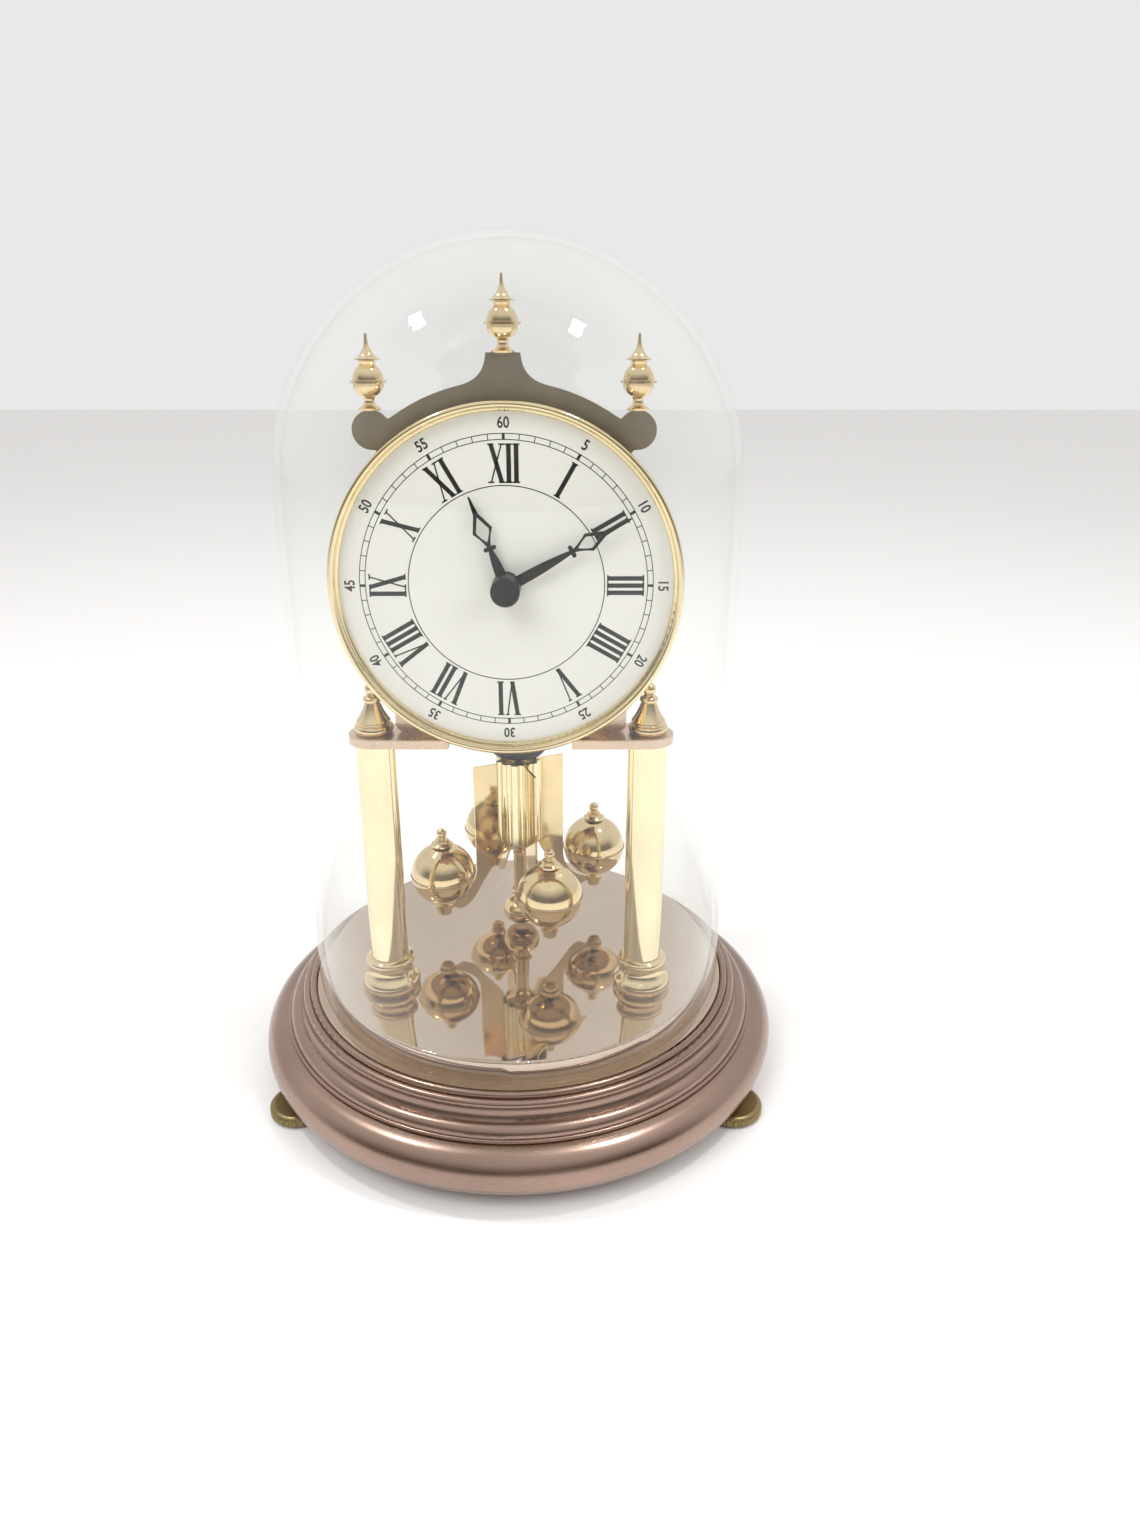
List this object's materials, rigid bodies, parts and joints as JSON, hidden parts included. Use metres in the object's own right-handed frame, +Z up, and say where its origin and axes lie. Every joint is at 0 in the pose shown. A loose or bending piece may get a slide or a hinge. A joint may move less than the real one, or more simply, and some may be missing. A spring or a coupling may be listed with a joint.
{
  "type": "anniversary clock",
  "caption": "Glass-domed anniversary clock: round moulded base on levelling feet, two columns, dial with crest and hands, and a turning four-ball pendulum.",
  "frame": {"origin": "on the table under the centre of the base", "axes": "+Z up, the dial faces -Y, +X to the right of someone facing the dial"},
  "size_m": [0.1912, 0.1949, 0.2876],
  "materials": {
    "antique_gold": "satin, dark bronze-gold plate",
    "bronze_plate": "aged satin",
    "mirror_gold": "mirror polished",
    "polished_brass": "polished and lacquered",
    "rose_brass": "brushed",
    "khaki_paint": "matt",
    "clear_glass": "clear, polished",
    "dial_white": "satin off-white with black print",
    "hand_black": "satin black",
    "zinc_steel": "zinc plated",
    "black_plastic": "fine satin",
    "natural_plastic": "natural nylon",
    "copper_wire": "enamelled copper",
    "magnet_grey": "sintered, dull",
    "board_green": "solder mask",
    "battery_jacket": "printed film"
  },
  "bodies": {
    "clock_body": {"backing_plate": "zinc_steel", "base_floor": "zinc_steel", "base_moulding": "antique_gold", "battery_contacts": "zinc_steel", "bezel": "polished_brass", "centre_nut": "zinc_steel", "circuit_board": "board_green", "coil_spool": "natural_plastic", "column_feet": "polished_brass", "column_finials": "polished_brass", "column_left": "polished_brass", "column_right": "polished_brass", "crest_finials": "polished_brass", "crest_plate": "khaki_paint", "dial": "dial_white", "dial_spacer": "black_plastic", "dial_support": "bronze_plate", "drive_boss": "black_plastic", "drive_coil": "copper_wire", "foot_bushes": "bronze_plate", "frame_screws": "zinc_steel", "mirror_plate": "mirror_gold", "motor_coil": "copper_wire", "motor_stator": "zinc_steel", "movement_case": "black_plastic", "movement_screws": "zinc_steel", "platform": "rose_brass", "quartz_crystal": "zinc_steel", "rear_cover": "black_plastic", "rod_nuts": "zinc_steel", "tie_rods": "zinc_steel", "train_plate": "natural_plastic"},
    "minute_work": {"minute_hand": "hand_black", "hand_nut": "zinc_steel", "cannon_pinion": "natural_plastic", "centre_wheel": "natural_plastic"},
    "hour_work": {"hour_hand": "hand_black", "hour_wheel": "natural_plastic"},
    "setting_work": {"intermediate_wheel": "natural_plastic", "setting_knob": "black_plastic"},
    "pendulum": {"pendulum_spindle": "zinc_steel", "drive_magnet": "magnet_grey", "fluted_column": "polished_brass", "pendulum_stem": "polished_brass", "pendulum_bob": "polished_brass", "ball_finials": "polished_brass", "ball_nuts": "polished_brass", "ball_1": "polished_brass", "ball_2": "polished_brass", "ball_3": "polished_brass", "ball_4": "polished_brass", "pendulum_arm_1": "polished_brass", "pendulum_arm_2": "polished_brass", "pendulum_arm_3": "polished_brass", "pendulum_arm_4": "polished_brass"},
    "dome": {"glass_dome": "clear_glass"},
    "foot_left": {"levelling_foot_left": "bronze_plate"},
    "foot_right": {"levelling_foot_right": "bronze_plate"},
    "foot_back": {"levelling_foot_back": "bronze_plate"},
    "battery": {"battery": "battery_jacket"}
  },
  "joints": [
    {"name": "minute_turn", "type": "hinge", "parent": "clock_body", "child": "minute_work", "pos_m": [0, 0, 0.1878], "axis": [0, 1, 0], "continuous": true},
    {"name": "hour_turn", "type": "hinge", "parent": "clock_body", "child": "hour_work", "pos_m": [0, 0, 0.1878], "axis": [0, 1, 0], "continuous": true},
    {"name": "setting_turn", "type": "hinge", "parent": "clock_body", "child": "setting_work", "pos_m": [0, 0, 0.1758], "axis": [0, 1, 0], "continuous": true},
    {"name": "pendulum_turn", "type": "hinge", "parent": "clock_body", "child": "pendulum", "pos_m": [0, 0.0178, 0], "axis": [0, 0, 1], "range_deg": [-180, 180]},
    {"name": "dome_lift", "type": "slide", "parent": "clock_body", "child": "dome", "axis": [0, 0, 1], "range_m": [0, 0.25]},
    {"name": "foot_left_turn", "type": "hinge", "parent": "clock_body", "child": "foot_left", "pos_m": [-0.07708, -0.0445, 0], "axis": [0, 0, 1], "range_deg": [-360, 360]},
    {"name": "foot_right_turn", "type": "hinge", "parent": "clock_body", "child": "foot_right", "pos_m": [0.07708, -0.0445, 0], "axis": [0, 0, 1], "range_deg": [-360, 360]},
    {"name": "foot_back_turn", "type": "hinge", "parent": "clock_body", "child": "foot_back", "pos_m": [0, 0.089, 0], "axis": [0, 0, 1], "range_deg": [-360, 360]},
    {"name": "battery_slide", "type": "slide", "parent": "clock_body", "child": "battery", "axis": [0, 1, 0], "range_m": [0, 0.03]}
  ],
  "couplings": [
    {"joint": "hour_turn", "follows": "minute_turn", "ratio": 0.083333},
    {"joint": "setting_turn", "follows": "minute_turn", "ratio": -0.33333}
  ]
}
